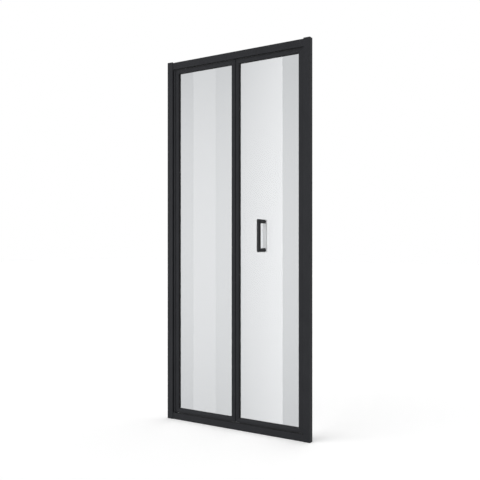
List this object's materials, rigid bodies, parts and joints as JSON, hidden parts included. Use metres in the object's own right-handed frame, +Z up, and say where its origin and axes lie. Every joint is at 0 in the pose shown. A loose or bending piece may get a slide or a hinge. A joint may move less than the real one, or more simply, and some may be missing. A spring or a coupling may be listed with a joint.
{
  "type": "folding shower door",
  "caption": "Framed folding shower door: two clear glass panels with a full-height fold hinge, pivot pins, a track carriage, a sill guide and a bar handle.",
  "frame": {"origin": "underside of the sill, below the fold line, in the plane of the pivot pins", "axes": "+X across the opening towards the closing jamb, -Y towards the outside of the shower, +Z up"},
  "size_m": [0.84, 0.0815, 1.9],
  "materials": {
    "frame_black": "matt black powder coat on extruded aluminium",
    "handle_black": "matt black powder coat on a metal bar",
    "glass": "clear toughened float glass",
    "seal_rubber": "matt black extruded rubber",
    "magnet_strip": "satin black magnetic strip",
    "black_nylon": "moulded black nylon",
    "corner_cast": "plain cast aluminium",
    "steel": "stainless steel",
    "grey_pad": "pale grey pad"
  },
  "bodies": {
    "frame": {"wall_channel_left": "frame_black", "wall_channel_right": "frame_black", "jamb_left": "frame_black", "jamb_right": "frame_black", "head_rail": "frame_black", "sill_rail": "frame_black", "cover_strip_left": "frame_black", "cover_strip_right": "frame_black", "channel_caps": "black_nylon", "frame_screws": "steel", "channel_screws": "steel", "screw_covers": "black_nylon", "jamb_seal": "seal_rubber", "strike_magnet": "magnet_strip", "pivot_block_top": "black_nylon", "pivot_block_bottom": "black_nylon", "pivot_block_screws": "steel", "track_stop": "black_nylon"},
    "left_panel": {"pivot_stile": "frame_black", "fold_stile_a": "frame_black", "top_rail_a": "frame_black", "bottom_rail_a": "frame_black", "glass_a": "glass", "gaskets_a": "seal_rubber", "pivot_corner_top": "corner_cast", "pivot_corner_bottom": "corner_cast", "fold_corners_a": "corner_cast", "corner_screws_a": "steel", "pivot_pin_top": "steel", "pivot_pin_bottom": "steel", "fold_pin": "steel", "fold_seal": "seal_rubber", "drip_seal_a": "seal_rubber"},
    "right_panel": {"lead_stile": "frame_black", "fold_stile_b": "frame_black", "top_rail_b": "frame_black", "bottom_rail_b": "frame_black", "glass_b": "glass", "gaskets_b": "seal_rubber", "lead_corner_top": "corner_cast", "lead_corner_bottom": "corner_cast", "fold_corners_b": "corner_cast", "corner_screws_b": "steel", "lead_magnet": "magnet_strip", "drip_seal_b": "seal_rubber", "handle_bar": "handle_black", "handle_pads": "seal_rubber", "handle_sleeves": "black_nylon", "inner_plate": "handle_black", "inner_pad": "grey_pad", "handle_bolts": "steel"},
    "carriage": {"carriage_block": "black_nylon", "carriage_pin": "steel"},
    "wheels_front": {"axle_front": "steel", "wheels_front": "black_nylon"},
    "wheels_rear": {"axle_rear": "steel", "wheels_rear": "black_nylon"},
    "guide": {"guide_shoe": "black_nylon", "guide_pin": "steel"}
  },
  "joints": [
    {"name": "fold", "type": "hinge", "parent": "frame", "child": "left_panel", "pos_m": [-0.371, 0, 0.95], "axis": [0, 0, 1], "range_deg": [0, 80]},
    {"name": "centre_fold", "type": "hinge", "parent": "left_panel", "child": "right_panel", "pos_m": [0, -0.013, 0.95], "axis": [0, 0, 1], "range_deg": [-160, 0]},
    {"name": "carriage_turn", "type": "hinge", "parent": "right_panel", "child": "carriage", "pos_m": [0.371, 0, 1.87], "axis": [0, 0, 1], "range_deg": [0, 80]},
    {"name": "guide_turn", "type": "hinge", "parent": "right_panel", "child": "guide", "pos_m": [0.371, 0, 0.02], "axis": [0, 0, 1], "range_deg": [0, 80]},
    {"name": "front_wheels_roll", "type": "hinge", "parent": "carriage", "child": "wheels_front", "pos_m": [0.381, 0, 1.87105], "axis": [0, 1, 0], "continuous": true},
    {"name": "rear_wheels_roll", "type": "hinge", "parent": "carriage", "child": "wheels_rear", "pos_m": [0.361, 0, 1.87105], "axis": [0, 1, 0], "continuous": true}
  ],
  "couplings": [
    {"joint": "centre_fold", "follows": "fold", "ratio": -2},
    {"joint": "carriage_turn", "follows": "fold", "ratio": 1},
    {"joint": "guide_turn", "follows": "fold", "ratio": 1}
  ]
}
